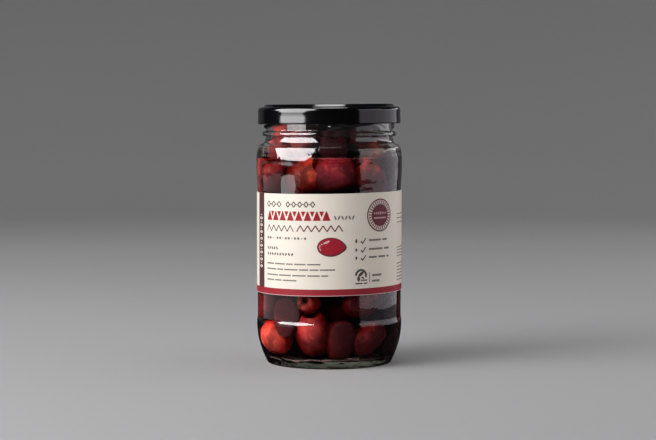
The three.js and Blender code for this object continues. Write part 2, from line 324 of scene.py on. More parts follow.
def olive_material(colours):
    """Wet olive skin, from near black to rust or plum, mottled and finely pitted, with painted light and
    shade, and a hole painted near black as shade.
    """
    recipe = Recipe("olive_skin")
    where, _ = recipe.place()
    tone, hue, pit = (Term(recipe, recipe.node("Attribute", attribute_name=name).outputs["Fac"])
                      for name in OLIVE_LAYERS)
    fields = recipe.noise(where, 85.0, 2.0, 0.5, 0.6)
    patches = recipe.noise(where, 230.0, 4.0, 0.62, 0.4)
    specks = recipe.noise(where, 900.0, 2.0).over(0.66, 0.08)
    # Tone carries each olive's own paleness times painted light and shade.
    share = tone * (fields.over(0.50, 0.34) * 1.25 + 0.35) * ((patches - 0.5) * 2.2 + 1.0)
    ripe = recipe.blend(hue, colours.olive_rust, colours.olive_plum)
    skin = recipe.blend(share, colours.olive_dark, ripe)
    skin = recipe.blend(patches.over(0.60, 0.12) * tone * 0.5, skin, (0.60, 0.16, 0.10))
    skin = recipe.blend(specks * tone * 0.35, skin, (0.30, 0.10, 0.07))
    # Painted shade: the hole is painted near black, as the shade inside it.
    skin = recipe.blend(pit, skin, (0.010, 0.003, 0.003))
    creases = recipe.noise(where, 330.0, 4.0, 0.6, 0.8)
    inputs = {"Base Color": skin, "Roughness": patches * 0.2 + 0.26, "IOR": 1.075,
              "Normal": recipe.bump(creases, 0.55, 0.9 * MM)}
    return recipe.solid(inputs)


def stage_material():
    """Plain pale grey studio paper."""
    recipe = Recipe("studio_paper")
    where, (_, _, z) = recipe.place()
    cloud = recipe.noise(where, 3.0, 2.0)
    floor = recipe.blend(cloud, (0.275, 0.275, 0.28), (0.25, 0.25, 0.255))
    inputs = {"Base Color": recipe.blend(z.over(0.25, 0.5), floor, (0.225, 0.225, 0.23)), "Roughness": 0.85}
    return recipe.solid(inputs)


def round_jar(angle, radius, height=0.0):
    """The place at an angle from the front, rising to the right."""
    return Vector((radius * math.sin(angle), -radius * math.cos(angle), height))


def show(bm, name, materials):
    """Writes the mesh as an object at the origin."""
    mesh = bpy.data.meshes.new(name)
    bm.to_mesh(mesh)
    bm.free()
    for material in materials:
        mesh.materials.append(material)
    shown = bpy.data.objects.new(name, mesh)
    bpy.context.scene.collection.objects.link(shown)
    return shown


def finish_piece(bm, name, materials, sharp_over, replaced=()):
    """Shades the mesh smooth between its sharp edges and lets it ride on the jar."""
    bmesh.ops.recalc_face_normals(bm, faces=bm.faces)
    for face in bm.faces:
        face.smooth = True
    for edge in bm.edges:
        edge.smooth = len(edge.link_faces) == 2 and edge.calc_face_angle() < math.radians(sharp_over)
    piece = show(bm, name, materials)
    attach(piece, BODY)
    if replaced:
        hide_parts(*replaced)


def outline(bm, corners, segments=4, longest=2.5 * MM):
    """Draws a cross-section through (radius, height, rounding) corners, in millimetres, and rounds each one.

    Straight runs are cut to the longest length, so that the shading of a rounding ends close to it.
    """
    points = [bm.verts.new((radius * MM, 0.0, height * MM)) for radius, height, _ in corners]
    for start, end in zip(points, points[1:]):
        bm.edges.new((start, end))
    for point, (_, _, rounding) in zip(points, corners):
        if rounding:
            bmesh.ops.bevel(bm, geom=[point], offset=rounding * MM, offset_type="OFFSET", affect="VERTICES",
                            segments=segments, profile=0.5, material=-1, clamp_overlap=False)
    for edge in bm.edges[:]:
        cuts = int(edge.calc_length() / longest)
        if cuts:
            bmesh.ops.subdivide_edges(bm, edges=[edge], cuts=cuts)


def sweep_round(bm, angle, steps, closed=False):
    """Sweeps the cross-section round the jar's axis."""
    bmesh.ops.spin(bm, geom=bm.verts[:] + bm.edges[:], cent=(0, 0, 0), axis=(0, 0, 1), dvec=(0, 0, 0),
                   angle=angle, steps=steps, use_merge=closed)


def turn(bm, steps):
    """Turns the cross-section once round the jar's axis and closes its seam and poles."""
    sweep_round(bm, math.tau, steps, True)
    bmesh.ops.remove_doubles(bm, verts=bm.verts, dist=1e-6)
    bmesh.ops.recalc_face_normals(bm, faces=bm.faces)


# The glass jar
GLASS_STEPS = 160
NECK_RADIUS = 30.9
NECK_FOOT, NECK_TOP = 114.0, 125.7
FOOT = [(0.0, 2.5, 0.0), (16.0, 2.3, 5.0), (25.4, 1.2, 1.5), (27.8, 0.0, 0.5), (30.2, 0.0, 0.8)]
HEEL = [(33.55, 7.2, 4.0), (35.46, 15.6, 3.6), (35.46, 20.75, 0.0), (35.46, 21.55, 0.6)]
WALL_PANEL = [(35.1, 22.65, 0.6), (35.1, 23.45, 0.0), (35.1, 86.5, 3.0), (35.62, 92.5, 3.0),
              (35.7, 100.2, 1.6)]
SHOULDER = [(35.3, 103.9, 1.6), (34.8, 106.1, 0.95), (33.3, 107.2, 0.9), (31.62, 107.9, 1.1)]
BEAD = [(30.98, 111.0, 0.25), (32.7, 111.2, 0.5), (32.7, 113.1, 0.8), (NECK_RADIUS, 113.7, 0.4)]
LIP_ROUNDING = 1.2
LIP = [(NECK_RADIUS, NECK_TOP, LIP_ROUNDING), (28.3, NECK_TOP, LIP_ROUNDING)]
CAVITY = [(28.3, 110.6, 2.5), (31.3, 103.6, 3.4), (33.0, 97.5, 3.0), (33.0, 21.0, 4.0), (32.2, 11.6, 3.2),
          (29.7, 5.1, 2.6), (24.0, 3.7, 3.0), (10.0, 4.4, 4.0), (0.0, 4.6, 0.0)]
THREADS = 4
THREAD_START, THREAD_SWEEP = -91.0, 84.0
THREAD_LOW, THREAD_RISE = 115.7, 5.2
THREAD_HALF, THREAD_PROUD = 1.35, 1.25
THREAD_FADE_IN, THREAD_FADE_OUT = 4.0, 8.0  # degrees
THREAD_CUTS = 34


def thread_lift(degrees, height):
    """How far a thread stands off the neck at one place, in millimetres."""
    lift = 0.0
    for start in range(THREADS):
        way = (degrees - THREAD_START - start * 360.0 / THREADS) % 360.0
        if way > THREAD_SWEEP:
            continue
        middle = THREAD_LOW + THREAD_RISE * way / THREAD_SWEEP
        across = (height - middle) / THREAD_HALF
        if abs(across) < 1.0:
            ends = min(1.0, way / THREAD_FADE_IN, (THREAD_SWEEP - way) / THREAD_FADE_OUT)
            lift = max(lift, THREAD_PROUD * math.sqrt(1.0 - across * across) * math.sqrt(max(ends, 0.0)))
    return lift


def raise_threads(bm):
    """Pushes the four sloping threads out of the neck."""
    for vert in bm.verts:
        radius, height = vert.co.xy.length / MM, vert.co.z / MM
        if abs(radius - NECK_RADIUS) < 0.02 and NECK_FOOT < height < NECK_TOP - LIP_ROUNDING:
            lift = thread_lift(math.degrees(math.atan2(vert.co.y, vert.co.x)) + 90.0, height)
            vert.co.xy *= 1.0 + lift / radius


def make_glass(colours, sizes):
    """The glass: foot, heel, panel for the label, shoulder, bead, threaded neck, lip and inner wall."""
    bm = bmesh.new()
    outline(bm, FOOT + HEEL + WALL_PANEL + SHOULDER + BEAD + LIP + CAVITY)
    neck = [edge for edge in bm.edges if all(
        abs(vert.co.x / MM - NECK_RADIUS) < 0.01 and vert.co.z / MM > NECK_FOOT for vert in edge.verts)]
    bmesh.ops.subdivide_edges(bm, edges=neck, cuts=THREAD_CUTS)
    turn(bm, GLASS_STEPS)
    raise_threads(bm)
    finish_piece(bm, "glass_jar", [glass_material(colours, sizes)], 70.0, ["jar_glass"])


# The brine
BRINE_STEPS = 96
BRINE_BITE = 0.25  # how far the brine reaches into the glass, so that no air shows between them
BITE_RADIUS, BITE_HEIGHT = 20.0, 10.0  # it reaches outwards beyond the one, and down below the other
BRINE_SHOULDER = (33.0 + BRINE_BITE, 97.5, 2.0)
BRINE_EDGE = 32.45 + BRINE_BITE
CLIMB = 1.3  # how far the brine climbs at the wall


def make_brine(sizes):
    """The brine: one closed body from the jar's floor to its level, which climbs a little at the wall."""
    level = sizes.brine_level / MM
    cavity = [(radius + BRINE_BITE * (radius > BITE_RADIUS),
               height - BRINE_BITE * (height < BITE_HEIGHT), rounding)
              for radius, height, rounding in reversed(CAVITY[3:])]
    surface = [(BRINE_EDGE, level + CLIMB, 0.0), (BRINE_EDGE - 0.7, level + 0.25, 0.3),
               (BRINE_EDGE - 2.4, level, 0.8), (0.0, level, 0.0)]
    bm = bmesh.new()
    outline(bm, [*cavity, BRINE_SHOULDER, *surface])
    turn(bm, BRINE_STEPS)
    finish_piece(bm, "brine", [brine_material()], 70.0)


# The lid
LID_STEPS = 144
LID_FACE = [(0.0, 124.9, 0.0), (10.6, 124.9, 0.9), (12.4, 125.25, 0.9), (26.4, 125.25, 0.7),
            (27.5, 126.6, 0.8), (30.95, 126.6, 0.35), (31.95, 125.45, 0.3)]
LID_SKIRT = [(34.84, 125.0, 1.4), (34.80, 121.6, 0.9), (34.93, 117.9, 0.3)]
LID_CURL = [(34.93, 117.1, 0.5), (33.6, 117.1, 0.5), (33.6, 118.3, 0.45)]
LID_INSIDE = [(34.15, 118.6, 0.3), (34.3, 124.3, 0.7), (31.5, 124.8, 0.3), (31.3, 126.0, 0.4),
              (27.8, 126.0, 0.4), (26.8, 124.65, 0.5), (12.4, 124.65, 0.5), (10.6, 124.3, 0.5),
              (0.0, 124.3, 0.0)]
CURL_TOP, CURL_RADIUS = 118.5, 34.4
LUG_EVERY, LUG_AT, LUG_HALF = 90.0, 62.0, 9.0  # degrees
LUG_DEPTH = 1.15


def squeeze_lugs(bm):
    """Presses the curl inwards at four places, where the lid grips the threads."""
    for vert in bm.verts:
        radius, height = vert.co.xy.length / MM, vert.co.z / MM
        if height < CURL_TOP and radius < CURL_RADIUS:
            degrees = math.degrees(math.atan2(vert.co.y, vert.co.x)) % LUG_EVERY
            grip = max(0.0, 1.0 - ((degrees - LUG_AT) / LUG_HALF) ** 4)
            vert.co.xy *= 1.0 - grip * LUG_DEPTH / radius


def make_lid(colours, sizes):
    """The twist-off lid: dished button, raised ring, skirt, rolled curl with its lugs, and plain inside."""
    bm = bmesh.new()
    outline(bm, LID_FACE + LID_SKIRT + LID_CURL + LID_INSIDE)
    turn(bm, LID_STEPS)
    squeeze_lugs(bm)
    tilt = Matrix.Rotation(-sizes.lid_tilt, 3, "Y")
    bmesh.ops.rotate(bm, verts=bm.verts, cent=UP * LID_LOW.z, matrix=tilt)
    finish_piece(bm, "lid_shell", [lacquer_material(colours)], 60.0, ["lid"])


# The label, laid out flat in millimetres: right from the middle of the front, and up from the lower edge
LABEL_TURN = 340.0  # degrees of the jar that the label covers
BAND_TOP, MARGIN = 3.25, 0.32
STRIPE_LEFT, STRIPE_RIGHT = -45.1, -38.3
PAPER = 0.3  # thickness as drawn, with the glue under it
LABEL_STEPS = 170
INK = 0.05  # thickness of one layer
SCORE = 2.0  # how far apart the wide shapes are scored before they are bent
PRINT_SEED = 733


def make_paper(colours, sizes):
    """The paper: a thin band round the jar that stops short of meeting at the back."""
    bm = bmesh.new()
    inner, outer = sizes.label_radius - PAPER * MM, sizes.label_radius
    low, high = sizes.label_bottom, sizes.label_bottom + sizes.label_height
    section = [bm.verts.new((radius, 0.0, height))
               for radius, height in ((inner, low), (outer, low), (outer, high), (inner, high))]
    for start, end in zip(section, section[1:] + section[:1]):
        bm.edges.new((start, end))
    first_edge = math.pi / 2 + math.radians(360.0 - LABEL_TURN) / 2
    bmesh.ops.rotate(bm, verts=bm.verts, cent=(0, 0, 0), matrix=Matrix.Rotation(first_edge, 3, "Z"))
    sweep_round(bm, math.radians(LABEL_TURN), LABEL_STEPS)
    bmesh.ops.holes_fill(bm, edges=bm.edges, sides=4)
    bmesh.ops.recalc_face_normals(bm, faces=bm.faces)
    for face in bm.faces:
        outward = face.normal.dot(face.calc_center_median().normalized())
        face.material_index = 0 if outward > 0.3 and abs(face.normal.z) < 0.5 else 1
    skew_with_label(bm, sizes)
    finish_piece(bm, "paper_label", [paper_material(colours, sizes), plain_paper_material()],
                 30.0, ["label"])


def skew_with_label(bm, sizes):
    """Lets everything on the label rise to the right with it."""
    for vert in bm.verts:
        vert.co.z += vert.co.x * math.tan(sizes.label_skew)


class Sheet:
    """The label's print, laid out flat in millimetres, in one mesh whose inks are material numbers."""

    def __init__(self):
        self.bm = bmesh.new()

    def _lay(self, verts, middle, layer, turned, size, ink):
        """Brings a flat shape of unit size to its own size, turns it and lays it at its place in one ink."""
        spot = Vector((middle[0], -INK * (layer + 0.5), middle[1]))
        matrix = (Matrix.Translation(spot) @ Matrix.Rotation(turned, 4, "Y")
                  @ Matrix.Diagonal((size[0], INK, size[1], 1.0)))
        bmesh.ops.transform(self.bm, verts=verts, matrix=matrix)
        for face in {face for vert in verts for face in vert.link_faces}:
            face.material_index = ink

    def _block(self):
        return bmesh.ops.create_cube(self.bm, size=1.0)["verts"]

    def bar(self, left, right, low, high, ink, layer=0):
        """A rectangle."""
        middle = ((left + right) / 2, (low + high) / 2)
        self._lay(self._block(), middle, layer, 0.0, (right - left, high - low), ink)

    def stroke(self, start, end, wide, ink, layer=0):
        """A straight stroke from one point to another."""
        run, rise = end[0] - start[0], end[1] - start[1]
        middle = ((start[0] + end[0]) / 2, (start[1] + end[1]) / 2)
        self._lay(self._block(), middle, layer, -math.atan2(rise, run), (math.hypot(run, rise), wide), ink)

    def tooth(self, foot, wide, tall, ink):
        """A filled triangle that stands on its foot, or hangs from it where its height is negative."""
        verts = self._block()
        for vert in verts:
            if vert.co.z > 0.0:
                vert.co.x *= 0.12
            vert.co.z += 0.5
        self._lay(verts, foot, 0, 0.0, (wide, tall), ink)

    def disc(self, middle, across, tall, ink, layer=0, sides=24, lean=0.0):
        """A filled oval."""
        made = bmesh.ops.create_cone(self.bm, cap_ends=True, cap_tris=True, segments=sides,
                                     radius1=0.5, radius2=0.5, depth=1.0)["verts"]
        bmesh.ops.rotate(self.bm, verts=made, matrix=Matrix.Rotation(math.pi / 2, 3, "X"))
        self._lay(made, middle, layer, math.radians(lean), (across, tall), ink)
        return made

    def ring(self, middle, across, tall, wide, ink, layer=0, sides=24, start=0.0, sweep=360.0):
        """An oval ring, or an arc of one, made of short strokes."""
        steps = max(3, int(sides * sweep / 360.0))
        points = []
        for step in range(steps + (sweep < 360.0)):
            angle = math.radians(start + sweep * step / steps)
            points.append((middle[0] + (across - wide) / 2 * math.cos(angle),
                           middle[1] + (tall - wide) / 2 * math.sin(angle)))
        ends = points[1:] + (points[:1] if sweep >= 360.0 else [])
        for first, second in zip(points, ends):
            self.stroke(first, second, wide, ink, layer)

    def _ends(self, face):
        along = [vert.co.x for vert in face.verts]
        return min(along), max(along)

    def wrap(self, sizes):
        """Scores what is wide upright every few millimetres, and bends the sheet round the jar."""
        wide = {face for face in self.bm.faces if self._ends(face)[1] - self._ends(face)[0] > SCORE}
        places = [vert.co.x for vert in self.bm.verts]
        for line in range(math.floor(min(places) / SCORE) + 1, math.ceil(max(places) / SCORE)):
            cut = line * SCORE
            faces = [face for face in wide if self._ends(face)[0] < cut < self._ends(face)[1]]
            edges = {edge for face in faces for edge in face.edges}
            verts = {vert for face in faces for vert in face.verts}
            made = bmesh.ops.bisect_plane(self.bm, geom=[*verts, *edges, *faces], dist=1e-4,
                                          plane_co=(cut, 0, 0), plane_no=(1, 0, 0))["geom"]
            wide.update(item for item in made if isinstance(item, bmesh.types.BMFace))
        for vert in self.bm.verts:
            vert.co = round_jar(vert.co.x * MM / sizes.label_radius, sizes.label_radius - vert.co.y * MM,
                                sizes.label_bottom + vert.co.z * MM)
        skew_with_label(self.bm, sizes)


CHARCOAL, GREY, CRIMSON, DEEP_RED, BADGE_PLUM, PALE, PINK = range(7)


def steps_along(left, right, pitch):
    """The middles of equal steps of about this pitch that fill a row, and their true pitch."""
    count = max(1, round((right - left) / pitch))
    pitch = (right - left) / count
    return [left + (step + 0.5) * pitch for step in range(count)], pitch


def chain_frieze(sheet, left, right, low, high, ink, wide):
    """Lozenges joined by short links."""
    middles, pitch = steps_along(left, right, (high - low) * 1.12)
    level = (low + high) / 2
    for middle in middles:
        sheet.ring((middle - pitch * 0.1, level), pitch * 0.8, high - low, wide, ink, sides=4)
        if middle < middles[-1]:
            sheet.bar(middle + pitch * 0.3, middle + pitch * 0.5, level - wide / 2, level + wide / 2, ink)


def zigzag_frieze(sheet, left, right, low, high, ink, wide):
    """One zigzag line."""
    middles, run = steps_along(left, right, (high - low) * 0.62)
    for step, middle in enumerate(middles):
        first, last = (high, low) if step % 2 else (low, high)
        sheet.stroke((middle - run / 2, first), (middle + run / 2, last), wide, ink)


def tooth_frieze(sheet, left, right, low, high, ink):
    """A row of solid teeth with smaller ones hanging between them."""
    middles, pitch = steps_along(left, right, (high - low) * 0.98)
    for middle in middles:
        sheet.tooth((middle, low), pitch * 0.86, high - low, ink)
        if middle < middles[-1]:
            sheet.tooth((middle + pitch / 2, high), pitch * 0.52, (low - high) * 0.56, ink)


def leaf_row(sheet, left, right, low, high, ink):
    """A row of small leaves, leaning by turns."""
    middles, pitch = steps_along(left, right, 1.75)
    for step, middle in enumerate(middles):
        lean = 24.0 if step % 2 else -24.0
        sheet.disc((middle, (low + high) / 2), pitch * 0.5, high - low, ink, 0, 10, lean)


def bead_row(sheet, left, right, low, high, ink):
    """A row of beads, each third one a small dot."""
    middles, pitch = steps_along(left, right, (high - low) * 0.95)
    for step, middle in enumerate(middles):
        across = pitch * (0.34 if step % 3 == 2 else 0.74)
        sheet.disc((middle, (low + high) / 2), across, across, ink, 0, 10)


def dash_row(sheet, left, right, low, high, ink, rng, word=5.0):
    """A row of plain bars of uneven length."""
    spot, middle, tall = left, (low + high) / 2, (high - low) * 0.62
    while spot < right - 0.5:
        end = min(right, spot + rng.uniform(0.35, 1.0) * word)
        sheet.bar(spot, end, middle - tall / 2, middle + tall / 2, ink)
        spot = end + 0.75 * (high - low)


def stripe_ornaments(sheet):
    """Pale lozenges with dots between them down the plum stripe."""
    middle = (STRIPE_LEFT + STRIPE_RIGHT) / 2
    for step in range(16):
        spot = (middle, 13.2 + step * 1.66)
        if step % 2:
            sheet.disc(spot, 1.3, 0.5, PALE, 0, 8)
        else:
            sheet.ring(spot, 3.6, 1.5, 0.40, PALE, sides=4)


def plump_oval(sheet, middle, wide, tall, point, ink, layer):
    """An oval that runs out into a short point at its right end."""
    made = sheet.disc(middle, wide, tall, ink, layer, 40)
    for vert in made:
        past = (vert.co.x - middle[0]) / (wide / 2) - 0.72
        if past > 0.0:
            past /= 0.28
            vert.co.x += point * past * past
            vert.co.z -= 0.35 * past * past


def olive_emblem(sheet):
    """A plump olive: dark rim, crimson body, a point at its right end, and pale lights."""
    middle = (0.75, 23.35)
    plump_oval(sheet, middle, 13.2, 9.1, 1.0, DEEP_RED, 0)
    plump_oval(sheet, (middle[0] - 0.15, middle[1] + 0.2), 12.2, 8.0, 0.8, CRIMSON, 1)
    sheet.ring((middle[0] - 0.3, middle[1]), 10.6, 6.6, 0.42, PINK, 2, 20, 158.0, 52.0)
    sheet.disc((middle[0] - 2.0, middle[1] + 2.3), 3.4, 1.1, PINK, 2, 16, -24.0)
    sheet.disc((middle[0] - 4.2, middle[1] + 1.4), 0.9, 0.7, PINK, 2, 10)


def round_badge(sheet):
    """A plum badge: rim, a pale ring of small chevrons, an inner disc, and a row of beads over a rule."""
    middle, across, chevrons = (26.7, 37.75), 15.8, 60
    sheet.disc(middle, across, across, BADGE_PLUM, 0, 40)
    sheet.disc(middle, across - 1.3, across - 1.3, PALE, 1, 40)
    sheet.disc(middle, across * 0.67, across * 0.67, BADGE_PLUM, 2, 36)
    inner, outer = across * 0.345, across * 0.445
    for step in range(chevrons):
        angle = math.tau * step / chevrons
        twist = 0.11 if step % 2 else -0.11
        start = (middle[0] + inner * math.cos(angle), middle[1] + inner * math.sin(angle))
        end = (middle[0] + outer * math.cos(angle + twist), middle[1] + outer * math.sin(angle + twist))
        sheet.stroke(start, end, 0.36, BADGE_PLUM, 2)
    for step in range(-3, 4):
        tall = 1.7 - 0.25 * abs(step)
        sheet.disc((middle[0] + step * 1.25, middle[1] + 1.0), 0.72, tall, PINK, 3, 10)
    sheet.bar(middle[0] - 3.9, middle[0] + 3.8, middle[1] - 1.6, middle[1] - 0.95, PINK, 3)


def tick_list(sheet, rng):
    """Three ticks, each with a dot before it and a row of bars after it."""
    for low, high in ((24.5, 27.2), (20.3, 22.9), (16.5, 19.0)):
        middle = (low + high) / 2
        sheet.disc((13.1, middle + 0.1), 1.0, 1.5 if low < 24 else 2.1, CHARCOAL, 0, 10)
        sheet.stroke((15.5, middle - 0.1), (16.45, low + 0.2), 0.6, CHARCOAL)
        sheet.stroke((16.35, low + 0.1), (18.1, high), 0.52, CHARCOAL)
        dash_row(sheet, 19.9, 33.0, middle - 0.5, middle + 1.0, GREY, rng, 9.0)


def leaf_mark(sheet, rng):
    """A round mark with two leaves, with a rule and two short rows beside it."""
    middle = (15.6, 9.5)
    sheet.ring(middle, 6.4, 6.2, 1.05, CHARCOAL, 0, 20, -20.0, 200.0)
    sheet.disc((15.6, 10.2), 3.6, 1.5, CHARCOAL, 0, 14, -38.0)
    sheet.disc((14.3, 7.9), 1.5, 2.6, CHARCOAL, 0, 12)
    sheet.stroke((15.9, 8.7), (17.2, 7.9), 0.7, CHARCOAL)
    dash_row(sheet, 15.5, 18.9, 6.7, 7.6, CHARCOAL, rng, 4.0)
    dash_row(sheet, 12.7, 18.9, 5.2, 6.2, CHARCOAL, rng, 4.0)
    sheet.stroke((20.3, 6.1), (20.3, 10.8), 0.28, DEEP_RED)
    dash_row(sheet, 21.7, 28.5, 8.5, 10.1, GREY, rng, 6.0)
    dash_row(sheet, 21.7, 27.0, 5.8, 7.4, GREY, rng, 5.0)


def side_panels(sheet, rng):
    """Blocks of fine print on the sides and towards the back."""
    for left, right in ((41.4, 72.0), (-82.0, -52.0), (76.0, 98.0)):
        for low in (37.2, 35.2, 33.1, 21.0, 19.6, 18.2, 16.8, 13.2, 11.6, 10.0, 8.4, 6.8, 5.2):
            dash_row(sheet, left, right - rng.uniform(0.0, 6.0), low, low + 0.75, GREY, rng)


def print_inks(colours):
    """The inks in the order of their numbers: name, colour and how thinly each one takes."""
    kinds = (("charcoal_ink", colours.charcoal, 0.10), ("grey_ink", colours.charcoal, 0.40),
             ("crimson_ink", colours.crimson, 0.04), ("deep_red_ink", (0.10, 0.010, 0.020), 0.06),
             ("badge_ink", (0.125, 0.014, 0.034), 0.06), ("pale_ink", colours.paper, 0.5),
             ("pink_ink", (0.60, 0.33, 0.33), 0.1))
    return [ink_material(*kind) for kind in kinds]


def make_print(colours, sizes):
    """Everything printed on the cream paper, laid out flat and then wrapped round the jar."""
    rng = random.Random(PRINT_SEED)
    sheet = Sheet()
    chain_frieze(sheet, -35.3, -24.0, 42.0, 45.2, CHARCOAL, 0.46)
    chain_frieze(sheet, -22.2, -6.0, 42.0, 45.2, CHARCOAL, 0.52)
    tooth_frieze(sheet, -35.3, 0.9, 35.9, 40.3, CRIMSON)
    leaf_row(sheet, 2.0, 12.4, 36.1, 38.3, GREY)
    zigzag_frieze(sheet, -35.2, -17.8, 30.7, 33.6, CHARCOAL, 0.46)
    zigzag_frieze(sheet, -16.0, 6.4, 30.7, 33.6, DEEP_RED, 0.54)
    bead_row(sheet, -35.3, -29.6, 26.5, 28.4, GREY)
    bead_row(sheet, -28.2, -10.8, 26.5, 28.4, GREY)
    leaf_row(sheet, -35.2, -27.0, 21.7, 23.4, CHARCOAL)
    leaf_row(sheet, -35.2, -17.6, 19.0, 20.5, CHARCOAL)
    for low, right in ((14.6, -4.2), (12.0, 3.5), (9.2, -0.5), (6.8, -16.2)):
        dash_row(sheet, -35.3, right, low, low + 1.05, GREY, rng, 8.5)
    stripe_ornaments(sheet)
    olive_emblem(sheet)
    round_badge(sheet)
    tick_list(sheet, rng)
    leaf_mark(sheet, rng)
    side_panels(sheet, rng)
    sheet.wrap(sizes)
    finish_piece(sheet.bm, "label_print", print_inks(colours), 30.0)


# The olives
OLIVE_SEED = 20411
OLIVE_SIDES, OLIVE_RINGS = 24, 16
HOLE_ANGLE, SCAR_ANGLE = 27.0, 13.5  # degrees from an olive's ends within which its hole and scar lie
HEAP_FOOT, HEAP_TOP = 4.9, 117.0
# Placed one by one: angle from the front, height, lean from upright, size, tone from dark to pale, hue from
# rust to plum, how far the hole is turned outwards, and where the side painted paler as painted light faces,
# clockwise from up
SHOWN_OLIVES = [
    (-62.0, 14.2, -94.0, 1.00, 1.40, 0.35, 0.0, 300.0),
    (-15.5, 17.4, -4.0, 1.06, 0.50, 0.60, 0.36, 330.0),
    (-20.5, 31.8, 10.0, 0.74, 0.52, 0.35, 4.0, 90.0),
    (39.0, 14.8, 66.0, 0.96, 0.20, 0.80, 0.0, 335.0),
    (-88.0, 29.0, 12.0, 0.90, 0.34, 1.0, 0.0, 90.0),
    (86.0, 27.0, -8.0, 0.95, 0.45, 1.0, 0.0, 270.0),
    (-62.0, 31.0, 30.0, 0.95, 0.16, 1.0, 0.0, 300.0),
    (33.0, 33.0, 70.0, 1.0, 0.30, 1.0, 0.0, 0.0),
    (-86.0, 92.0, 15.0, 1.08, 0.24, 0.5, 0.0, 90.0),
    (-60.0, 91.0, 80.0, 1.20, 0.17, 0.7, 0.0, 340.0),
    (-25.0, 92.2, 60.0, 1.22, 0.27, 0.0, 0.45, 60.0),
    (4.5, 93.2, 84.0, 1.08, 0.25, 1.0, 0.1, -6.0),
    (40.0, 91.5, -40.0, 1.05, 0.30, 0.6, 0.0, 340.0),
    (-62.0, 104.5, 70.0, 0.85, 1.15, 0.7, 0.0, 300.0),
    (-60.0, 113.5, 84.0, 0.84, 0.90, 0.5, 0.0, 0.0),
]
PRESSED = 2.1  # how far an olive's side is flattened against the glass
WALL_SHARE = 0.68  # of the olives placed at random, how many lie against the wall
EVEN_SHARE, EVEN_TURN = 0.618034, 137.508  # steps that spread places evenly over the height and the circle
ROUNDS = 160
BALLS = np.array((0.86, 1.0, 0.86))  # an olive's three stand-in balls, as shares of its half width
APART, INSIDE, SINK = 0.28, 0.8, 0.02  # how hard olives are pushed apart, back inside, and down
HOLE_DEPTH, SCAR_DEPTH = 0.42, 0.10  # shares of an olive's half length
WALL_HEIGHTS = (4.1, 5.3, 7.6, 12.0, 16.0, 21.0, 95.0, 98.5, 103.6, 107.0, 110.6, 130.0)
WALL_RADII = (23.0, 28.8, 30.5, 31.95, 32.6, 32.85, 32.9, 32.6, 31.0, 29.7, 28.3, 28.2)


def cavity_radius(height):
    """Inner radius of the glass at a height, in millimetres."""
    return float(np.interp(height, WALL_HEIGHTS, WALL_RADII))


def wall_axis(degrees, lean, outward):
    """The way out to the wall, and an olive's long axis there: upright, leaning or turned outwards."""
    angle, leaning = math.radians(degrees), math.radians(lean)
    out, along = round_jar(angle, 1.0), round_jar(angle + math.pi / 2, 1.0)
    axis = UP * math.cos(leaning) + along * math.sin(leaning)
    return out, (axis + out * outward).normalized()


def painted_light_way(degrees, side):
    """The way the side of an olive that is painted paler, as painted light, faces: outwards and to one side
    of where it is seen from.
    """
    out, up_the_wall = wall_axis(degrees, side, 0.0)
    return (out * 0.42 + up_the_wall * 0.90).normalized()


def shown_olive(sizes, degrees, height, lean, size, tone, hue, outward, painted_lit_turn):
    """One of the olives seen in front, which keeps its place."""
    half_long, half_wide = sizes.olive_length / MM / 2, sizes.olive_width / MM / 2
    out, axis = wall_axis(degrees, lean, outward)
    reach = half_wide * size - PRESSED + abs(axis.dot(out)) * (half_long - half_wide) * size
    place = out * (cavity_radius(height) - reach) + UP * height
    return SimpleNamespace(place=place, axis=axis, size=size, tone=tone, hue=hue,
                           painted_lit_side=painted_light_way(degrees, painted_lit_turn), fixed=True)


def random_olive(sizes, rng, number):
    """One of the others, against the wall or in the loose middle, which moves until it fits."""
    height = HEAP_FOOT + 8.0 + (HEAP_TOP - HEAP_FOOT - 14.0) * ((number * EVEN_SHARE) % 1.0)
    in_wall = rng.random() < WALL_SHARE
    degrees = (number * EVEN_TURN) % 360.0
    out, axis = wall_axis(degrees, rng.uniform(-90.0, 90.0), rng.uniform(-0.25, 0.25))
    if not in_wall:
        axis = Vector([rng.uniform(-1.0, 1.0) for _ in range(3)]).normalized()
    size = rng.uniform(0.88, 1.08)
    half_wide = sizes.olive_width / MM / 2
    radius = (cavity_radius(height) - half_wide * size) if in_wall else rng.uniform(0.0, 15.0)
    tone, hue = min(0.26, max(0.0, rng.gauss(0.04, 0.07))), rng.random()
    return SimpleNamespace(place=out * radius + UP * height, axis=axis, size=size, tone=tone, hue=hue,
                           painted_lit_side=painted_light_way(degrees, rng.uniform(0.0, 360.0)), fixed=False)


def start_heap(sizes, rng):
    """First places of all the olives."""
    heap = [shown_olive(sizes, *placed) for placed in SHOWN_OLIVES]
    return heap + [random_olive(sizes, rng, number) for number in range(sizes.olive_count - len(heap))]


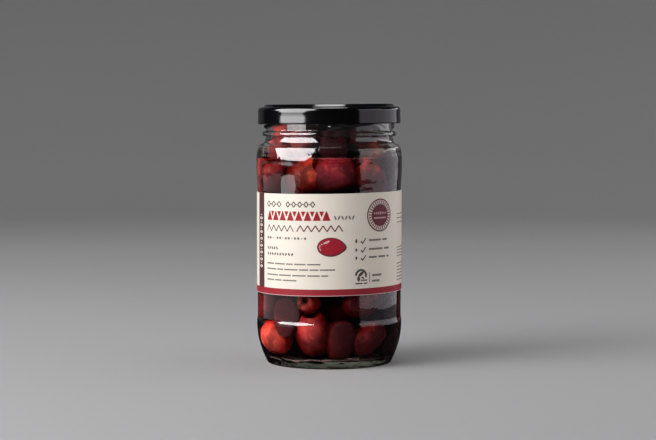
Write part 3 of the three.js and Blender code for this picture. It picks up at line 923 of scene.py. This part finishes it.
def settle(heap, sizes):
    """Pushes olives that overlap apart, and all of them back inside the glass, until they lie packed."""
    half_long, half_wide = sizes.olive_length / MM / 2, sizes.olive_width / MM / 2
    places, axes, scale, fixed = (
        np.array([getattr(olive, name) for olive in heap]) for name in ("place", "axis", "size", "fixed"))
    offsets = np.array((-1.0, 0.0, 1.0)) * (half_long - half_wide * 0.92)
    radii = (BALLS * half_wide)[None, :] * scale[:, None]
    owner = np.repeat(np.arange(len(heap)), 3)
    for _ in range(ROUNDS):
        along = (offsets[None, :] * scale[:, None])[..., None]
        balls = (places[:, None, :] + axes[:, None, :] * along).reshape(-1, 3)
        reach = radii.reshape(-1)
        gap = balls[:, None, :] - balls[None, :, :]
        distance = np.linalg.norm(gap, axis=2) + 1e-6
        overlap = reach[:, None] + reach[None, :] - distance
        overlap[owner[:, None] == owner[None, :]] = 0.0
        push = (np.clip(overlap, 0.0, None) / distance)[..., None] * gap * APART
        push = push.sum(axis=1)
        push[:, 2] -= SINK
        limit = np.array([cavity_radius(height) for height in balls[:, 2]]) - reach + PRESSED
        flat = np.linalg.norm(balls[:, :2], axis=1) + 1e-6
        push[:, :2] -= balls[:, :2] / flat[:, None] * np.clip(flat - limit, 0.0, None)[:, None] * INSIDE
        push[:, 2] += np.clip(HEAP_FOOT + reach - balls[:, 2], 0.0, None) * INSIDE
        push[:, 2] -= np.clip(balls[:, 2] + reach - HEAP_TOP, 0.0, None) * INSIDE
        push = push.reshape(len(heap), 3, 3)
        moved = push.mean(axis=1)
        turned = (push[:, 2] - push[:, 0]) / (2.0 * offsets[2])
        moved[fixed], turned[fixed] = 0.0, 0.0
        places += moved
        axes += turned - axes * (turned * axes).sum(axis=1)[:, None]
        axes /= np.linalg.norm(axes, axis=1)[:, None]
    for olive, place, axis in zip(heap, places, axes):
        olive.place, olive.axis = Vector(place), Vector(axis)


def add_olive(bm, scrap, olive, sizes, rng):
    """One pitted olive: a tapered oval with a hole in one end, a small scar at the other and soft dents."""
    place = olive.place * MM
    one = bmesh.new()
    tone_and_shade_layer, hue_layer, hole_shade_layer = (one.verts.layers.float.new(name) for name in OLIVE_LAYERS)
    half_long, half_wide = sizes.olive_length * olive.size / 2, sizes.olive_width * olive.size / 2
    bmesh.ops.create_uvsphere(one, u_segments=OLIVE_SIDES, v_segments=OLIVE_RINGS, radius=1.0)
    shift = Vector([rng.uniform(-50.0, 50.0) for _ in range(3)])
    taper, squash = rng.uniform(0.02, 0.12), rng.uniform(0.92, 1.0)
    for vert in one.verts:
        unit = vert.co.copy()
        polar = math.degrees(math.acos(max(-1.0, min(1.0, unit.z))))
        lump = noise.noise(unit * 1.4 + shift) * 0.10 + noise.noise(unit * 4.2 + shift) * 0.034
        girth = half_wide * (1.0 + lump - taper * unit.z)
        vert.co = Vector((unit.x * girth, unit.y * girth * squash, unit.z * half_long * (1.0 + lump * 0.5)))
        hole = max(0.0, 1.0 - polar / HOLE_ANGLE)
        scar = max(0.0, 1.0 - (180.0 - polar) / SCAR_ANGLE)
        vert.co.z -= half_long * HOLE_DEPTH * hole ** 0.6
        vert.co.z += half_long * SCAR_DEPTH * scar
        vert[hue_layer], vert[hole_shade_layer] = olive.hue, min(1.0, hole * 2.2)
    spin = Matrix.Rotation(rng.uniform(0.0, math.tau), 4, "Z")
    stand = olive.axis.to_track_quat("Z", "Y").to_matrix().to_4x4()
    bmesh.ops.transform(one, verts=one.verts, matrix=Matrix.Translation(place) @ stand @ spin)
    for vert in one.verts:
        # Painted light and shade: the tone is full on the olive's painted lit side and falls to about a fifth
        # of it on the far side.
        facing = max(0.0, min(1.0, ((vert.co - place).normalized().dot(olive.painted_lit_side) + 0.05) / 0.97))
        vert[tone_and_shade_layer] = olive.tone * (0.18 + 0.92 * facing * facing * (3.0 - 2.0 * facing))
        limit = cavity_radius(vert.co.z / MM) * MM
        vert.co.xy *= min(1.0, limit / vert.co.xy.length)
        vert.co.z = max(vert.co.z, HEAP_FOOT * MM)
    one.to_mesh(scrap)
    one.free()
    bm.from_mesh(scrap)


def make_olives(colours, sizes):
    """The heap of olives: all of them at true size, packed against the glass and each other."""
    rng = random.Random(OLIVE_SEED)
    heap = start_heap(sizes, rng)
    settle(heap, sizes)
    bm = bmesh.new()
    scrap = bpy.data.meshes.new("scrap")
    for olive in heap:
        add_olive(bm, scrap, olive, sizes, rng)
    bpy.data.meshes.remove(scrap)
    finish_piece(bm, "pitted_olives", [olive_material(colours)], 80.0, ["olives"])


# The stage: camera, lights, floor and backdrop in one bowl
CAMERA_PLACE = (-0.6, -940.0, 127.3)
CAMERA_PITCH = 3.5
LENS, SENSOR = 105.3, 36.0
STAGE_SHAPE = [(0.0, 0.0, 0.0), (1900.0, 0.0, 700.0), (2700.0, 2600.0, 0.0)]
STAGE_STEPS = 96


def make_stage():
    """A round studio floor that curves up into a wall on every side."""
    bm = bmesh.new()
    outline(bm, STAGE_SHAPE, segments=12, longest=1.0)
    turn(bm, STAGE_STEPS)
    for face in bm.faces:
        face.normal_flip()
        face.smooth = True
    stage = show(bm, "studio_stage", [stage_material()])
    stage.visible_glossy = False


def add_light(name, degrees, distance, height, wide, tall, radiance, aim_height):
    """A soft rectangular light at an angle round the jar; its mirror image is left to the cards."""
    data = bpy.data.lights.new(name, "AREA")
    data.shape = "RECTANGLE"
    data.size, data.size_y = wide, tall
    data.energy = radiance * math.pi * wide * tall
    light = bpy.data.objects.new(name, data)
    light.location = round_jar(math.radians(degrees), distance, height)
    facing = UP * aim_height - light.location
    light.rotation_euler = facing.to_track_quat("-Z", "Y").to_euler()
    for kind in ("camera", "transmission", "glossy"):
        setattr(light, "visible_" + kind, False)
    bpy.context.scene.collection.objects.link(light)


WHITE, ROSY = (1.0, 0.99, 1.0), (1.0, 0.94, 1.03)
GLOW_EDGE, GLOW_SOFT = 0.145, 0.05  # the height at which a card's weaker foot ends, and over how much
CARD_STEPS = 24


def card_material(name, radiance, shade, foot_glow):
    """An even glow, or one that is weaker towards the card's foot."""
    recipe = Recipe(name)
    colour = shade
    if foot_glow < 1.0:
        _, (_, _, z) = recipe.place()
        colour = recipe.blend(z.over(GLOW_EDGE, GLOW_SOFT), [foot_glow * part for part in shade], shade)
    glow = recipe.node("Emission", {"Color": colour, "Strength": radiance})
    recipe.node("OutputMaterial", {"Surface": glow.outputs[0]})
    return recipe.material


def finish_card(bm, name, radiance, shade=WHITE, foot_glow=1.0):
    """A glowing card that shows only as a reflection in glass and lacquer."""
    card = show(bm, name, [card_material(name, radiance, shade, foot_glow)])
    for kind in ("camera", "diffuse", "transmission", "volume_scatter", "shadow"):
        setattr(card, "visible_" + kind, False)


def bent_card(name, radius, start, end, low, high, radiance, shade=WHITE):
    """A card bent round the jar from one angle to another, both from the front and rising to the right."""
    bm = bmesh.new()
    bm.edges.new([bm.verts.new(round_jar(math.radians(start), radius, height)) for height in (low, high)])
    sweep_round(bm, math.radians(end - start), CARD_STEPS)
    finish_card(bm, name, radiance, shade)


def flat_card(name, sides, across, place, facing, radiance, foot_glow=1.0):
    """A flat many-sided card that stands on one of its sides."""
    bm = bmesh.new()
    made = bmesh.ops.create_circle(bm, cap_ends=True, segments=sides, radius=across / 2)["verts"]
    turn_to = Vector(facing).to_track_quat("Z", "Y").to_matrix().to_4x4()
    matrix = Matrix.Translation(Vector(place)) @ turn_to @ Matrix.Rotation(math.pi / sides, 4, "Z")
    bmesh.ops.transform(bm, verts=made, matrix=matrix)
    finish_card(bm, name, radiance, foot_glow=foot_glow)


def make_lights():
    """Key light from the left, a broad dim one from the right, a top light, and the cards for reflections."""
    add_light("key_light", -60.0, 1.0, 0.53, 0.62, 0.9, 9.3, 0.53)
    add_light("side_light", 93.0, 1.1, 0.40, 1.9, 1.1, 1.55, 0.40)
    add_light("top_light", 0.0, 0.01, 1.9, 2.2, 2.2, 1.2, 0.0)
    angle, sides, across, foot = math.radians(-62.0), 8, 1.73, 0.085
    centre = round_jar(angle, 1.0, foot + across / 2 * math.cos(math.pi / sides))
    flat_card("octagon_card", sides, across, centre, -round_jar(angle, 1.0), 17.0, 0.48)
    bent_card("near_left_card", 0.335, -79.0, -54.0, 0.022, 0.062, 3.8)
    bent_card("dim_left_card", 1.3, -130.0, -48.0, -0.135, -0.02, 0.5)
    bent_card("right_card", 1.1, 49.0, 137.0, -0.085, 0.29, 1.2, ROSY)
    bent_card("low_right_card", 1.1, 49.0, 137.0, -0.105, -0.085, 0.25, ROSY)
    bent_card("upper_right_card", 1.1, 49.0, 98.0, 0.29, 0.75, 2.0)
    bent_card("far_right_card", 1.1, 98.0, 150.0, 0.29, 0.42, 3.0)
    bent_card("back_card", 1.5, 137.0, 230.0, -0.05, 0.9, 0.10)
    flat_card("top_card", 12, 0.72, (0.0, 0.12, 1.6), (0.0, 0.0, -1.0), 14.0)


def make_air():
    """A faint even light from all around."""
    world = bpy.data.worlds.new("studio_air")
    world.use_nodes = True
    world.node_tree.nodes["Background"].inputs["Color"].default_value = (0.9, 0.93, 1.0, 1.0)
    world.node_tree.nodes["Background"].inputs["Strength"].default_value = 0.01
    bpy.context.scene.world = world


def make_camera():
    """The camera at the photograph's height, pitch and distance."""
    data = bpy.data.cameras.new("camera")
    data.lens, data.sensor_width = LENS, SENSOR
    data.clip_start, data.clip_end = 0.01, 20.0
    camera = bpy.data.objects.new("camera", data)
    camera.location = [part * MM for part in CAMERA_PLACE]
    camera.rotation_euler = (math.radians(90.0 - CAMERA_PITCH), 0.0, 0.0)
    bpy.context.scene.collection.objects.link(camera)
    bpy.context.scene.camera = camera


class JarOperator:
    """What the operators of this add-on share"""

    bl_options = {"REGISTER", "UNDO"}

    def parts(self, context):
        """The colours and sizes that the pieces are made from."""
        return context.scene.jar_colours, context.scene.jar_sizes


class MakeGlass(JarOperator, bpy.types.Operator):
    """Makes the clear glass jar"""

    bl_idname = "jar.make_glass"
    bl_label = "Glass jar"

    def execute(self, context):
        make_glass(*self.parts(context))
        return {"FINISHED"}


class MakeBrine(JarOperator, bpy.types.Operator):
    """Fills the jar with red brine"""

    bl_idname = "jar.make_brine"
    bl_label = "Brine"

    def execute(self, context):
        make_brine(context.scene.jar_sizes)
        return {"FINISHED"}


class MakeLid(JarOperator, bpy.types.Operator):
    """Makes the black twist-off lid"""

    bl_idname = "jar.make_lid"
    bl_label = "Lid"

    def execute(self, context):
        make_lid(*self.parts(context))
        return {"FINISHED"}


class MakeLabel(JarOperator, bpy.types.Operator):
    """Makes the paper label and its print"""

    bl_idname = "jar.make_label"
    bl_label = "Label"

    def execute(self, context):
        make_paper(*self.parts(context))
        make_print(*self.parts(context))
        return {"FINISHED"}


class MakeOlives(JarOperator, bpy.types.Operator):
    """Packs the jar with pitted olives"""

    bl_idname = "jar.make_olives"
    bl_label = "Olives"

    def execute(self, context):
        make_olives(*self.parts(context))
        return {"FINISHED"}


class MakeStage(bpy.types.Operator):
    """Sets up the floor, the lights and the camera"""

    bl_idname = "jar.make_stage"
    bl_label = "Stage"

    def execute(self, context):
        make_stage()
        make_lights()
        make_air()
        make_camera()
        context.scene.view_settings.view_transform = "Standard"
        return {"FINISHED"}


OPERATORS = (MakeGlass, MakeBrine, MakeLid, MakeLabel, MakeOlives, MakeStage)


class JarPanel(bpy.types.Panel):
    """Lists the steps that build the jar"""

    bl_idname = "VIEW3D_PT_jar_of_olives"
    bl_label = "Jar of olives"
    bl_space_type = "VIEW_3D"
    bl_region_type = "UI"
    bl_category = "Olives"

    def draw(self, context):
        for step in OPERATORS:
            self.layout.operator(step.bl_idname)


CLASSES = (JarSizes, JarColours, *OPERATORS, JarPanel)


def register():
    """Makes the operators, the panel and the scene's settings known to Blender."""
    for item in CLASSES:
        bpy.utils.register_class(item)
    bpy.types.Scene.jar_sizes = PointerProperty(type=JarSizes)
    bpy.types.Scene.jar_colours = PointerProperty(type=JarColours)


def unregister():
    """Takes them away again."""
    del bpy.types.Scene.jar_colours
    del bpy.types.Scene.jar_sizes
    for item in reversed(CLASSES):
        bpy.utils.unregister_class(item)


def main():
    """Builds every piece in order."""
    register()
    for step in OPERATORS:
        group, name = step.bl_idname.split(".")
        getattr(getattr(bpy.ops, group), name)()


if __name__ == "__main__":
    main()
